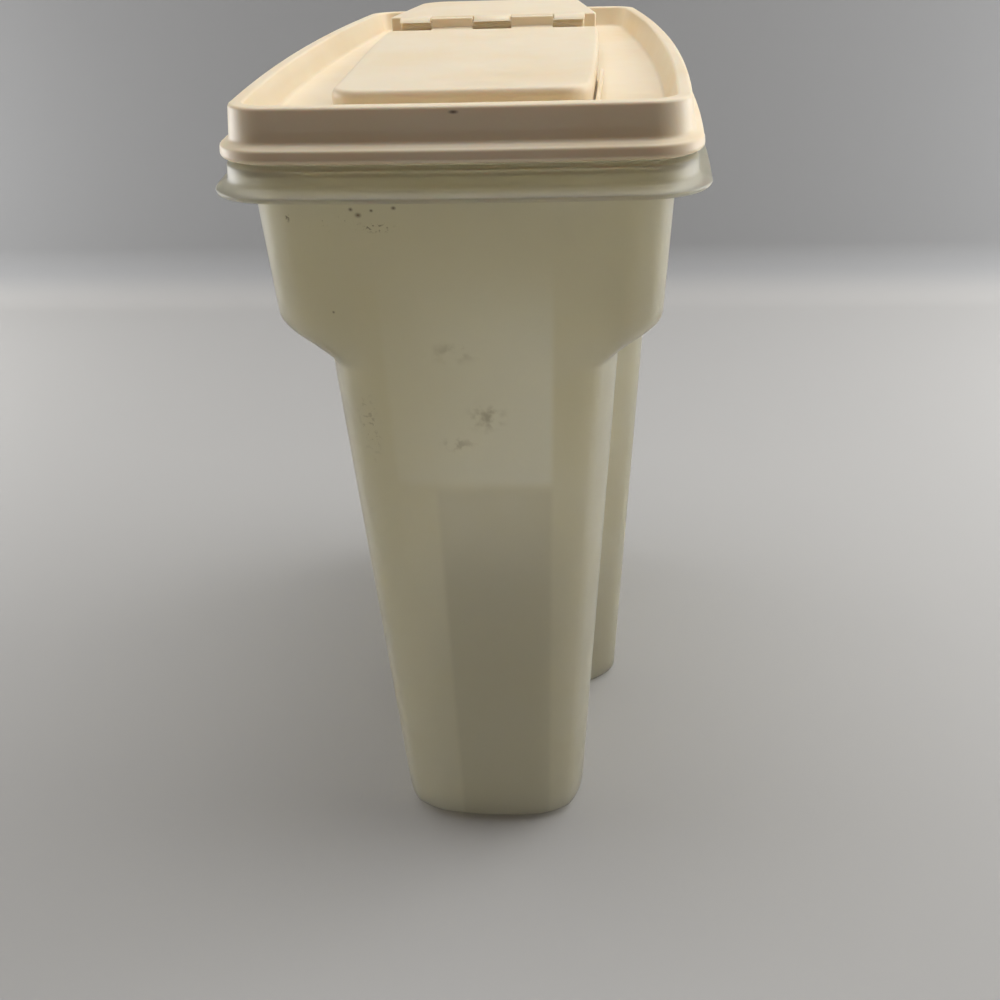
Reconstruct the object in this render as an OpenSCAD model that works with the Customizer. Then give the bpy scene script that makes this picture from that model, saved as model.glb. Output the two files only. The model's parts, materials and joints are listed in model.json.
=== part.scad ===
// Tall cereal container with a press-on seal and a flip cap over its pour opening.
// Plan: a long rounded rectangle with bowed sides. Below the shoulder the pouring
// end is drawn in on both long sides, which makes the grip.
// Frame: X across the narrow way, Y along the long way with the pouring end at -Y,
// Z up, origin at the centre of the base. Millimetres.

/* [Container] */
// Height from the base to the top of the seal's ring
ring_z = 238; // [180:1:300]
// Half width of the body at its ends, under the flange
body_half_w = 46; // [40:0.5:60]
// Half length of the body under the flange
body_half_l = 89.5; // [80:0.5:110]
// How much each long side bows outward at its middle
side_bow = 4.1; // [0:0.1:8]
// How much each end bows outward at its middle
end_bow = 0.9; // [0:0.1:3]
// Inward draft of the long sides from flange to base
draft_w = 2.7; // [0:0.1:6]
// Inward draft of the ends from flange to base
draft_l = 7.5; // [0:0.5:12]
// Width across X of each corner's curve on the upper body
upper_corner_x = 26; // [14:0.5:30]
// Depth along Y of each corner's curve on the upper body
upper_corner_y = 8; // [6.5:0.5:18]
// Width across X of the near corners' curve on the lower body, before it is drawn in
lower_corner_x = 21.5; // [14:0.5:26]
// Depth along Y of the near corners' curve on the lower body
lower_corner_y = 15.5; // [10:0.5:22]
// Wall thickness of the container
wall = 1.5; // [1:0.1:3]
// Thickness of the container's floor
floor_t = 2.2; // [1.5:0.1:4]
// How far the ring's outer face stands out from the body's plan
ring_grow = 1.75; // [1.5:0.05:2.5]

/* [Grip] */
// Half width of the grip just under the shoulder
grip_half_w = 36.2; // [28:0.2:40]
// Half width of the grip at the base
grip_base_half_w = 31.8; // [26:0.2:38]
// Place along Y where the grip starts to widen
waist_near_y = -21; // [-30:1:-5]
// Place along Y where the full width is reached
waist_far_y = -7; // [-14:1:20]
// Depth of the grip's inner edge below the ring's top
ledge_drop = 60; // [50:0.5:80]
// Height over which the shoulder turns in to the grip
ledge_rise = 13; // [8:0.5:20]

/* [Rim and flange] */
// Thickness of the container's rim inside the seal
rim_t = 1.3; // [1:0.1:2]
// Gap between the rim and the seal, each side
rim_gap = 0.15; // [0.1:0.05:0.3]
// Depth of the flange's web below the ring's top
web_drop = 11.5; // [10:0.1:14]
// Thickness of the flange's web and skirt
skirt_t = 1.5; // [1:0.1:2]
// How far the skirt's outer face stands out from the ring
skirt_out = 2.6; // [2:0.1:4]
// How far the flange's lip stands out from the ring
lip_out = 5.8; // [4:0.1:8]
// Depth of the flange's lower edge below the ring's top
lip_drop = 17.4; // [16:0.1:20]

/* [Seal] */
// Thickness of the ring's outer and inner walls
ring_wall = 1.0; // [0.8:0.1:1.5]
// Thickness of the ring's roof over the rim
ring_roof = 1.6; // [1:0.1:2.5]
// Corner radius of the ring in plan
ring_corner_r = 9; // [6:0.5:14]
// How far the bead stands out from the ring
bead_out = 3.4; // [2:0.1:5]
// Depth of the bead's underside below the ring's top
bead_drop = 10.6; // [8:0.1:11]
// Depth of the sunk panel below the ring's top
panel_drop = 6; // [4:0.5:8]
// Thickness of the sunk panel
panel_t = 1.4; // [1:0.1:2.5]

/* [Pour opening] */
// Half width of the pour opening
pour_half_w = 24.5; // [18:0.5:27]
// Y of the pour opening's near edge
pour_near_y = -75.5; // [-78:0.5:-60]
// Y of the pour opening's far edge
pour_far_y = 4; // [-20:0.5:10]
// Corner radius of the pour opening
pour_corner_r = 6; // [4:0.5:10]
// Thickness of the spout lip round the opening
spout_t = 1.4; // [1:0.1:2]
// Height of the spout lip above the sunk panel
spout_h = 4.4; // [2:0.1:5]
// Gap between the cap and the low guard ridge round it
guard_gap = 0.6; // [0.5:0.1:2]
// Thickness of the guard ridge
guard_t = 1; // [0.8:0.1:1.5]
// Height of the guard ridge above the sunk panel
guard_h = 3; // [1:0.1:4]
// Y where the guard ridge ends beside the cap
guard_far_y = -22; // [-50:1:20]

/* [Flip cap] */
// Height of the cap's top above the ring, from the hinge to the thumb line
cap_rise = 0.4; // [0:0.1:2]
// Half width of the cap at the hinge
cap_half_w = 32.6; // [28:0.1:34]
// How much the cap narrows on each side toward its near end
cap_taper = 5.2; // [0:0.1:6]
// Y of the cap's near face
cap_near_y = -80.5; // [-84:0.5:-70]
// Radius of the cap's near corners
cap_near_r = 7; // [3:0.5:10]
// Radius of the cap's far corners
cap_far_r = 2; // [1:0.5:4]
// Thickness of the cap's skirt
cap_skirt_t = 1.5; // [1:0.1:2]
// Gap between the cap's skirt and the sunk panel
cap_gap = 0.5; // [0.3:0.1:1]
// Thickness of the cap's plate
cap_t = 1.5; // [1:0.1:2]
// Thickness of the ring that plugs the opening
plug_t = 1.2; // [0.8:0.1:2]
// Gap between the plug and the opening's edge
plug_gap = 0.4; // [0.3:0.1:0.8]
// Depth of the plug under the plate
plug_depth = 3; // [2:0.1:4]
// Rise of the cap's top from the thumb line to the near face
thumb_rise = 0.7; // [0:0.1:1.5]
// Y of the thumb line
thumb_y = -56; // [-70:1:-40]

/* [Hinge] */
// Y of the hinge's axis
hinge_y = 32; // [28:0.5:40]
// Height of the hinge's axis above the ring
hinge_rise = 0.9; // [0.5:0.1:1.5]
// Radius of the cap's hinge rod
rod_r = 1.4; // [1.2:0.1:1.6]
// Radial clearance of the rod in the hooks
rod_gap = 0.05; // [0.02:0.01:0.1]
// Outer radius of the seal's hooks
hook_r = 2.5; // [2.3:0.1:3]
// Radius of the cap's two barrels, which are round behind and flat in front
barrel_r = 2.4; // [2:0.1:2.5]
// How far each barrel's flat front stands ahead of the axis
barrel_front = 1.9; // [1.5:0.1:2.1]
// Height of the hooks' open mouths
mouth_h = 2.5; // [2:0.1:2.7]
// Half width of the middle hook
middle_hook_half_w = 5.6; // [4:0.1:8]
// X where each outer hook starts
outer_hook_x = 19.2; // [17:0.1:22]
// X where each outer hook ends
outer_hook_end_x = 28.6; // [26:0.1:30]
// Side gap between a barrel and a hook
side_gap = 0.4; // [0.2:0.1:0.8]

/* [Hinge housing] */
// Half width of the housing at its hinge end
housing_half_w = 32.2; // [31:0.1:33]
// Half width of the housing at its far end
housing_far_half_w = 28; // [24:0.5:31]
// Y of the housing's far face
housing_far_y = 84; // [75:0.5:84]
// Wall thickness of the housing
housing_t = 1.4; // [1:0.1:2]
// Radius of the housing's far corners
housing_far_r = 9; // [4:0.5:14]

/* [Hidden] */
$fn = 48;

sheer_tone = [0.84, 0.84, 0.74, 0.85];
almond_tone = [0.93, 0.86, 0.72];

// Numbers of steps along one corner, one end and the three parts of a long side
CORNER_STEPS = 7;
END_STEPS = 3;
FRONT_STEPS = 5;
WAIST_STEPS = 8;
REAR_STEPS = 6;
CAP_SIDE_STEPS = 8;
// Smallest radius of an inset corner
MIN_R = 0.6;

flange_z = ring_z - lip_drop;
web_z = ring_z - web_drop;
ledge_z = ring_z - ledge_drop;
panel_z = ring_z - panel_drop;
cap_top_z = ring_z + cap_rise;
rod_z = ring_z + hinge_rise;
housing_z = rod_z + hook_r;
ring_half_w = body_half_w + ring_grow;
ring_half_l = body_half_l + ring_grow;

// Offsets from the ring's outer face, inward negative
slot_outer = -ring_wall;
rim_outer = slot_outer - rim_gap;
rim_inner = rim_outer - rim_t;
slot_inner = rim_inner - rim_gap;
trough_top = slot_inner - ring_wall;

// Cutters run this far past the faces they open
over = 1;
// Parts that stand on a face sink this far into it
bond = 0.2;
// Edge of a barrel's flat front, cut back this far
barrel_edge = 0.4;

// ---- Plan curves -------------------------------------------------------------

function mix(a, b, t) = a + (b - a) * t;
function clamp01(t) = min(1, max(0, t));
function ease(t) = let (u = clamp01(t)) u * u * (3 - 2 * u);
function spread(a, b, steps) = [for (i = [0:steps - 1]) mix(a, b, i / steps)];

// Half width of a bowed side at y, for a side that runs from y = near to y = far
function side_x(half_w, bow, near, far, y) =
    half_w + bow * (1 - pow(min(1, y < 0 ? y / near : y / far), 2));

// Y places along the right side, from the pouring end, close together at the waist
function side_ys(near, far) = concat(
    spread(near, waist_near_y, FRONT_STEPS),
    spread(waist_near_y, waist_far_y, WAIST_STEPS),
    spread(waist_far_y, far, REAR_STEPS),
    [far]
);

function reversed(list) = [for (i = [len(list) - 1:-1:0]) list[i]];
function mirror_x(points) = [for (p = reversed(points)) [-p[0], p[1]]];

// Arc round [cx, cy] with radius r = [across X, along Y], without its two end points
function arc(cx, cy, r, from, to, steps) = [
    for (i = [1:steps - 1])
        let (a = mix(from, to, i / steps))
            [cx + r[0] * cos(a), cy + r[1] * sin(a)]
];

// Right half of one bowed end, from the centre line outward, at sign -1 (near) or 1 (far)
function end_points(half_w, half_l, r, sign) = [
    for (i = [0.5:END_STEPS])
        let (share = i / (END_STEPS - 0.5))
            [(half_w - r[0]) * share, sign * (half_l + end_bow * (1 - pow(share, 2)))]
];

// A whole plan from its right half, which runs from the near centre line to the far one.
// Point i and point count - 1 - i mirror each other.
function both_halves(right) = concat(right, mirror_x(right));

// Rounded rectangle with bowed sides and ends, counter-clockwise.
// near_r and far_r are the corners' radii as [across X, along Y].
function plan(half_w, half_l, bow, near_r, far_r) =
    let (
        near = near_r[1] - half_l,
        far = half_l - far_r[1]
    )
    both_halves(concat(
        end_points(half_w, half_l, near_r, -1),
        arc(half_w - near_r[0], near, near_r, -90, 0, CORNER_STEPS),
        [for (y = side_ys(near, far)) [side_x(half_w, bow, near, far, y), y]],
        arc(half_w - far_r[0], far, far_r, 0, 90, CORNER_STEPS),
        reversed(end_points(half_w, half_l, far_r, 1))
    ));

// Share of the drawing-in at y: 1 at the pouring end, easing to 0 across the waist
function front_share(y) = 1 - ease((y - waist_near_y) / (waist_far_y - waist_near_y));

// Body plan at height z, inset evenly; grip is how far the pouring end is drawn in
function body_plan(z, inset, grip) =
    let (
        t = clamp01(z / flange_z),
        half_w = body_half_w - draft_w * (1 - t) - inset,
        half_l = body_half_l - draft_l * (1 - t) - inset,
        bow = side_bow * mix(0.75, 1, t),
        shrink = [inset, inset],
        upper_r = [upper_corner_x, upper_corner_y],
        near_r = mix(upper_r, [lower_corner_x, lower_corner_y], grip) - shrink,
        far_r = upper_r - shrink,
        grip_w = mix(grip_base_half_w, grip_half_w, clamp01(z / ledge_z)) - inset
    )
    [
        for (p = plan(half_w, half_l, bow, near_r, far_r))
            let (
                full = side_x(half_w, bow, near_r[1] - half_l, half_l - far_r[1], p[1]),
                drawn = grip * front_share(p[1]) * (1 - grip_w / full)
            )
            [p[0] * (1 - drawn), p[1]]
    ];

// Ring plan grown by off, for the seal, the rim and the flange
function ring_plan(off) =
    let (r = [ring_corner_r + off, ring_corner_r + off])
    plan(ring_half_w + off, ring_half_l + off, side_bow, r, r);

// Cap plan inset evenly: slightly bowed sides that narrow toward the near end
function cap_side_x(y) =
    cap_half_w - cap_taper * pow((hinge_y - y) / (hinge_y - cap_near_y), 1.5);
function cap_plan(far_y, inset) =
    let (
        near = cap_near_y + inset,
        far = far_y - inset,
        nr = max(MIN_R, cap_near_r - inset),
        fr = max(MIN_R, cap_far_r - inset),
        nx = cap_side_x(cap_near_y + cap_near_r) - inset,
        fx = cap_side_x(far_y - cap_far_r) - inset,
        side = [
            for (y = concat(spread(near + nr, far - fr, CAP_SIDE_STEPS), [far - fr]))
                [cap_side_x(y) - inset, y]
        ],
        right = concat(
            [[nx - nr, near]],
            arc(nx - nr, near + nr, [nr, nr], -90, 0, CORNER_STEPS),
            side,
            arc(fx - fr, far - fr, [fr, fr], 0, 90, CORNER_STEPS),
            [[fx - fr, far]]
        )
    )
    both_halves(right);

// ---- Solids from plans ---------------------------------------------------------

// Closed solid through a stack of plans with equal numbers of points, each made by
// both_halves. Each entry of stack is [z, plan], and a third number in a plan's point
// is that point's own height above z. The two ends are ladders of triangles between
// mirrored points, so a drawn-in plan keeps its hollows.
module loft(stack) {
    count = len(stack[0][1]);
    levels = len(stack);
    points = [
        for (level = stack)
            for (p = level[1])
                [p[0], p[1], level[0] + (len(p) > 2 ? p[2] : 0)]
    ];
    ladder = [
        for (i = [0:count / 2 - 2])
            each [[i, i + 1, count - 2 - i], [i, count - 2 - i, count - 1 - i]]
    ];
    top_start = count * (levels - 1);
    bottom = ladder;
    top = [for (t = ladder) [for (i = reversed(t)) i + top_start]];
    sides = [
        for (k = [0:levels - 2])
            for (i = [0:count - 1])
                let (
                    a = k * count + i,
                    b = k * count + (i + 1) % count,
                    c = a + count,
                    d = b + count
                )
                each [[a, d, b], [a, c, d]]
    ];
    polyhedron(points = points, faces = concat(bottom, top, sides), convexity = 8);
}

// Straight wall of a closed plan between two heights
module prism(points, z0, z1) {
    translate([0, 0, z0])
        linear_extrude(z1 - z0)
            polygon(points);
}

// Cylinder along X between two places, on the hinge's axis
module hinge_bar(x0, x1, r) {
    translate([x0, hinge_y, rod_z])
        rotate([0, 90, 0])
            cylinder(h = x1 - x0, r = r);
}

// ---- Container -------------------------------------------------------------------

// Share of the ledge's turn at a share of its height: a rounded edge, then a slope
function ledge_share(t) = t < 0.5 ? mix(1, 0.3, t / 0.5) : 0.3 * pow((1 - t) / 0.5, 2);

LEDGE_LEVELS = 6;
ledge_levels = [
    for (i = [0:LEDGE_LEVELS])
        [ledge_z + ledge_rise * i / LEDGE_LEVELS, ledge_share(i / LEDGE_LEVELS)]
];

// Base edge as [height, inset], rounded
base_edge = [[0, 4.2], [0.5, 2.4], [1.6, 1.1], [3.2, 0.3], [5, 0]];

module body_outer() {
    loft(concat(
        [for (e = base_edge) [e[0], body_plan(e[0], e[1], 1)]],
        [for (l = ledge_levels) [l[0], body_plan(l[0], 0, l[1])]],
        [
            [flange_z, body_plan(flange_z, 0, 0)],
            [web_z, ring_plan(rim_outer)],
            [ring_z - ring_roof - 0.7, ring_plan(rim_outer)],
            [ring_z - ring_roof - 0.3, ring_plan(rim_outer - 0.3)]
        ]
    ));
}

module body_cavity() {
    loft(concat(
        [for (e = base_edge) [e[0] + floor_t, body_plan(e[0] + floor_t, e[1] + wall, 1)]],
        [for (l = ledge_levels) [l[0], body_plan(l[0], wall, l[1])]],
        [
            [flange_z, body_plan(flange_z, wall, 0)],
            [web_z, ring_plan(rim_inner)],
            [ring_z + over, ring_plan(rim_inner)]
        ]
    ));
}

// Flange: a web out from the wall, then a skirt that flares to a lip
module flange() {
    difference() {
        loft([
            [flange_z, ring_plan(lip_out - 0.5)],
            [flange_z + 0.5, ring_plan(lip_out)],
            [flange_z + 1.1, ring_plan(lip_out - 0.3)],
            [flange_z + 2, ring_plan(skirt_out + 0.5)],
            [flange_z + 3.2, ring_plan(skirt_out)],
            [web_z - 0.5, ring_plan(skirt_out - 0.2)],
            [web_z, ring_plan(skirt_out - 0.8)]
        ]);
        loft([
            [flange_z - over, ring_plan(skirt_out + 0.6)],
            [flange_z + 1, ring_plan(skirt_out - 0.6)],
            [flange_z + 2.4, ring_plan(skirt_out - skirt_t)],
            [web_z - skirt_t, ring_plan(skirt_out - skirt_t)]
        ]);
        loft([
            [web_z - skirt_t - over, ring_plan(rim_outer - 0.5)],
            [web_z + over, ring_plan(rim_outer - 0.5)]
        ]);
    }
}

module container() {
    color(sheer_tone) {
        difference() {
            body_outer();
            body_cavity();
        }
        flange();
    }
}

// ---- Seal ------------------------------------------------------------------------

// Ring and bead, with the slot that the container's rim presses into
module seal_ring() {
    difference() {
        loft([
            [ring_z - bead_drop, ring_plan(bead_out - 1.4)],
            [ring_z - bead_drop + 0.5, ring_plan(bead_out - 0.4)],
            [ring_z - bead_drop + 1.4, ring_plan(bead_out)],
            [ring_z - bead_drop + 2.3, ring_plan(bead_out - 0.5)],
            [ring_z - bead_drop + 2.9, ring_plan(bead_out - 1.9)],
            [ring_z - bead_drop + 3.6, ring_plan(1.1)],
            [ring_z - 1.6, ring_plan(0.1)],
            [ring_z - 0.5, ring_plan(-0.15)],
            [ring_z, ring_plan(-0.8)]
        ]);
        loft([
            [panel_z, ring_plan(trough_top - 1.8)],
            [panel_z + 0.5, ring_plan(trough_top - 0.9)],
            [panel_z + 1.6, ring_plan(trough_top - 0.3)],
            [ring_z - 0.6, ring_plan(trough_top + 0.1)],
            [ring_z, ring_plan(trough_top + 0.5)],
            [ring_z + over, ring_plan(trough_top + 0.5)]
        ]);
        loft([
            [ring_z - bead_drop - over, ring_plan(slot_outer)],
            [panel_z - panel_t, ring_plan(slot_outer)]
        ]);
        difference() {
            loft([
                [panel_z - panel_t - over, ring_plan(slot_outer)],
                [ring_z - ring_roof, ring_plan(slot_outer)]
            ]);
            loft([
                [panel_z - panel_t - 2 * over, ring_plan(slot_inner)],
                [ring_z, ring_plan(slot_inner)]
            ]);
        }
    }
}

// Plan of the pour opening grown by grow
function pour_plan(grow) =
    let (
        hw = pour_half_w + grow,
        r = pour_corner_r + grow,
        near = pour_near_y - grow,
        far = pour_far_y + grow,
        right = concat(
            [[hw - r, near]],
            arc(hw - r, near + r, [r, r], -90, 0, CORNER_STEPS),
            [[hw, near + r], [hw, far - r]],
            arc(hw - r, far - r, [r, r], 0, 90, CORNER_STEPS),
            [[hw - r, far]]
        )
    )
    both_halves(right);

// Lip that stands up round the pour opening, inside the cap
module spout_lip() {
    difference() {
        prism(pour_plan(spout_t), panel_z - panel_t / 2, panel_z + spout_h);
        prism(pour_plan(0), panel_z - panel_t - over, panel_z + spout_h + over);
    }
}

// Low ridge round the closed cap
module guard_ridge() {
    half_w = cap_half_w + guard_gap + guard_t;
    difference() {
        prism(cap_plan(cap_far_y, -guard_gap - guard_t), panel_z - bond, panel_z + guard_h);
        prism(cap_plan(cap_far_y, -guard_gap), panel_z - over, panel_z + guard_h + over);
        translate([-half_w, guard_far_y, panel_z - over])
            cube([2 * half_w, cap_far_y - guard_far_y + 2 * half_w, guard_h + 2 * over]);
    }
}

// Plan of the hinge housing: wide at the hinge, rounded and narrower at the far end
function housing_plan(near_y, inset) =
    let (
        r = housing_far_r - inset,
        fx = housing_far_half_w - inset - r,
        fy = housing_far_y - inset - r,
        right = concat(
            [[housing_half_w - inset, near_y]],
            [[fx + r, fy]],
            arc(fx, fy, [r, r], 0, 90, CORNER_STEPS),
            [[fx, fy + r]]
        )
    )
    both_halves(right);

housing_near_y = hinge_y + barrel_r + 0.8;

module housing() {
    prism(housing_plan(housing_near_y, 0), panel_z - bond, housing_z);
    hooks_body();
}

// Solid blocks of the three hooks, from the housing forward over the rod
module hook_body(x0, x1) {
    hinge_bar(x0, x1, hook_r);
    translate([x0, hinge_y, rod_z - hook_r])
        cube([x1 - x0, housing_near_y - hinge_y + 0.5, 2 * hook_r]);
}

module hooks_body() {
    hook_body(-middle_hook_half_w, middle_hook_half_w);
    for (side = [-1, 1])
        hook_body(
            side > 0 ? outer_hook_x : -outer_hook_end_x,
            side > 0 ? outer_hook_end_x : -outer_hook_x
        );
}

module seal() {
    color(almond_tone)
        difference() {
            union() {
                difference() {
                    seal_ring();
                    prism(pour_plan(0), panel_z - panel_t - over, panel_z + over);
                }
                spout_lip();
                guard_ridge();
                housing();
            }
            // hollow of the housing, open below
            prism(
                housing_plan(housing_near_y + housing_t, housing_t),
                panel_z - panel_t - over,
                housing_z - housing_t
            );
            // bore of the hooks and their open mouths
            hinge_bar(-housing_half_w - over, housing_half_w + over, rod_r + rod_gap);
            translate([-housing_half_w - over, hinge_y - hook_r - over, rod_z - mouth_h / 2])
                cube([2 * (housing_half_w + over), hook_r + over, mouth_h]);
        }
}

// ---- Flip cap ----------------------------------------------------------------------

cap_far_y = hinge_y - hook_r - 1.1;
skirt_bottom_z = panel_z + cap_gap;

// Cap plan for the top, whose thumb end rises toward the near face
function cap_top_plan(inset) = [
    for (p = cap_plan(cap_far_y, inset))
        [p[0], p[1], thumb_rise * clamp01((thumb_y - p[1]) / (thumb_y - cap_near_y))]
];

module cap_shell() {
    difference() {
        loft([
            [skirt_bottom_z, cap_plan(cap_far_y, 0.2)],
            [skirt_bottom_z + 0.5, cap_plan(cap_far_y, 0)],
            [cap_top_z - cap_t, cap_plan(cap_far_y, 0)],
            [cap_top_z - 0.8, cap_top_plan(0.2)],
            [cap_top_z - 0.3, cap_top_plan(0.7)],
            [cap_top_z, cap_top_plan(1.5)]
        ]);
        prism(cap_plan(cap_far_y, cap_skirt_t), skirt_bottom_z - over, cap_top_z - cap_t);
    }
}

// Ring under the plate that plugs the pour opening
module cap_plug() {
    top = cap_top_z - cap_t + bond;
    difference() {
        prism(pour_plan(-plug_gap), top - plug_depth, top);
        prism(pour_plan(-plug_gap - plug_t), top - plug_depth - over, top + over);
    }
}

// One barrel of the hinge: round behind, a flat front with an eased edge, and the
// strap that joins it to the plate
module cap_barrel(x0, x1) {
    hinge_bar(x0, x1, barrel_r);
    translate([x0, hinge_y, rod_z])
        rotate([90, 0, 90])
            linear_extrude(x1 - x0)
                polygon([
                    [0, -barrel_r],
                    [0, barrel_r],
                    [barrel_edge - barrel_front, barrel_r],
                    [-barrel_front, barrel_r - barrel_edge],
                    [-barrel_front, barrel_edge - barrel_r],
                    [barrel_edge - barrel_front, -barrel_r]
                ]);
    translate([x0, cap_far_y - 1, cap_top_z - cap_t])
        cube([x1 - x0, hinge_y - cap_far_y + 1, cap_t]);
}

module flip_cap() {
    color(almond_tone) {
        cap_shell();
        cap_plug();
        hinge_bar(-outer_hook_end_x + 0.3, outer_hook_end_x - 0.3, rod_r);
        for (side = [-1, 1])
            cap_barrel(
                side > 0 ? middle_hook_half_w + side_gap : -outer_hook_x + side_gap,
                side > 0 ? outer_hook_x - side_gap : -middle_hook_half_w - side_gap
            );
    }
}

container();
seal();
flip_cap();
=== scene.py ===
"""A tall sheer cereal container with a press-on seal and a flip cap, dressed over its frame.

The frame gives the real places. Lengths are metres, +Z is up, X runs across the narrow way
and the pouring end is towards -Y. Offsets named "off" grow a plan outward from the ring's
outer face, and "inset" shrinks the body's plan.
"""

import json
import math

import bmesh
import bpy
from bpy.props import FloatProperty, PointerProperty, StringProperty
from mathutils import Matrix, Vector
from mathutils.geometry import tessellate_polygon


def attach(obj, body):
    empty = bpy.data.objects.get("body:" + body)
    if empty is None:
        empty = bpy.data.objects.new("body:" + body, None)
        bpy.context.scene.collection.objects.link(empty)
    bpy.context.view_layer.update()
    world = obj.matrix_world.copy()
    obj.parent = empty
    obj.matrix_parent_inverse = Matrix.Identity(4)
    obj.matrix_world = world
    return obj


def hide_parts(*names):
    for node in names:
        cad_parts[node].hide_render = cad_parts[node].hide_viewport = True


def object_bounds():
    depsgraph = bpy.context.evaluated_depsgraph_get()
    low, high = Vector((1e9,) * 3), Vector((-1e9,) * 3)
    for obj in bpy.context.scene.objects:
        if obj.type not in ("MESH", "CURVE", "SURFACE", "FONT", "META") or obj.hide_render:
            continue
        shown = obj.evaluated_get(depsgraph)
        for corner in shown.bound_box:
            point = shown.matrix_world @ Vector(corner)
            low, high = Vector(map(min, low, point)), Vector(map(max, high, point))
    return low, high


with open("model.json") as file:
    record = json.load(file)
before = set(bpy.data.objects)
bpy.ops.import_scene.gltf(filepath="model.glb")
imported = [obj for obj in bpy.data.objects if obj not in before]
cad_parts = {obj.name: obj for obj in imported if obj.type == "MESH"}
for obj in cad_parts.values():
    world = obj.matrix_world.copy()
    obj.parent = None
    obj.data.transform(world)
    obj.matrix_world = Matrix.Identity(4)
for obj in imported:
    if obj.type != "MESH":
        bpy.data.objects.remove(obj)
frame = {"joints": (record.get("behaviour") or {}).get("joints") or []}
CAD_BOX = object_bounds()

bl_info = {
    "name": "Cereal Container",
    "version": (1, 0, 0),
    "blender": (4, 5, 0),
    "location": "View3D > Sidebar > Container",
    "description": "Sheer container, seal and flip cap with their finishes and a studio",
    "category": "Add Mesh",
}

MM = 0.001
UP = Vector((0, 0, 1))

HINGE = next(j for j in frame["joints"] if j["name"] == "flip_cap_hinge")["pos_m"]

# Steps round the plan: one corner, half an end, and the three parts of a long side
CORNER_STEPS = 14
END_STEPS = 8
FRONT_STEPS = 10
WAIST_STEPS = 20
REAR_STEPS = 14
# Steps up the body: its base edge, straight part, shoulder, upper part and neck
BASE_STEPS = 8
GRIP_STEPS = 14
LEDGE_STEPS = 22
UPPER_STEPS = 4
NECK_STEPS = 6
# Edges that turn by more than this many degrees are shaded sharp
SHARP_TURN = 40
# The least radius of a corner in plan, and the flat that leads into a section's first corner
LEAST_R = 0.6 * MM
LEAD_IN = 1.5 * MM

# The camera's place in metres, its focal length in pixels of the 1000-pixel-wide frame, and
# its turn in radians: yaw to the left of +Y, pitch below the horizon and roll
CAMERA_PLACE = (0.0206, -0.2770, 0.2708)
CAMERA_FOCAL_PX = 879
FRAME_PX = 1000
CAMERA_TURN = (0.0744, 0.5981, -0.0326)

# Height over which the floor's tone turns into the wall's darker tone, which is painted shade
SHADED_WALL_FADE = 22 * MM
# The near face's patches stay in front of this Y
NEAR_FACE_Y = -70 * MM

# The finish of each body: its slot, and the material of that name with "_moulded"
FINISH = {
    "container": "sheer_polyethylene",
    "seal": "almond_polyethylene",
    "flip_cap": "almond_polyethylene",
}


def length(name, about, value_mm, low_mm=0.0, high_mm=400.0):
    """A length property whose default is given in millimetres."""
    return FloatProperty(
        name=name,
        description=about,
        default=value_mm * MM,
        min=low_mm * MM,
        max=high_mm * MM,
        unit="LENGTH",
    )


def colour(name, about, hex_value):
    """A colour property written as an sRGB hex value, such as "ECDFC4"."""
    return StringProperty(name=name, description=about, default=hex_value, maxlen=6)


class ContainerSizes(bpy.types.PropertyGroup):
    """The sheer container's shell."""

    half_w: length("Half width", "Half width at the ends, under the flange", 46)
    half_l: length("Half length", "Half length under the flange", 89.5)
    side_bow: length("Side bow", "How far each long side bows out at its middle", 4.1)
    end_bow: length("End bow", "How far each end bows out at its middle", 0.9)
    corner_facet: FloatProperty(
        name="Corner facet",
        description="How far each corner's arc flattens towards two facets",
        default=0.45,
        min=0.0,
        max=1.0,
    )
    draft_w: length("Side draft", "Inward draft of the long sides, flange to base", 2.7)
    draft_l: length("End draft", "Inward draft of the ends, flange to base", 7.5)
    upper_corner_x: length("Upper corner across", "Upper corners' width across X", 26)
    upper_corner_y: length("Upper corner along", "Upper corners' depth along Y", 8)
    lower_corner_x: length("Lower corner across", "Near lower corners' width across X", 21.5)
    lower_corner_y: length("Lower corner along", "Near lower corners' depth along Y", 15.5)
    grip_half_w: length("Grip half width", "Half width under the shoulder", 36.2)
    grip_base_half_w: length("Grip base half width", "Half width at the base", 31.8)
    waist_near_y: length("Waist start", "Y where the grip starts to widen", -21, -100)
    waist_far_y: length("Waist end", "Y where the full width is reached", -7, -100)
    ledge_drop: length("Ledge drop", "Grip's inner edge below the ring's top", 60)
    ledge_rise: length("Ledge rise", "Height over which the shoulder turns in", 13)
    wall: length("Wall", "Wall thickness", 1.5)
    floor_t: length("Floor", "Floor thickness", 2.2)
    rim_t: length("Rim", "Thickness of the rim inside the seal", 1.3)
    web_drop: length("Web drop", "Flange's web below the ring's top", 11.5)
    skirt_t: length("Skirt", "Thickness of the flange's web and skirt", 1.5)
    skirt_out: length("Skirt out", "Skirt's outer face out from the ring", 2.6)
    lip_out: length("Lip out", "Lip's edge out from the ring", 5.8)
    lip_drop: length("Lip drop", "Lip's lower edge below the ring's top", 17.4)


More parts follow.
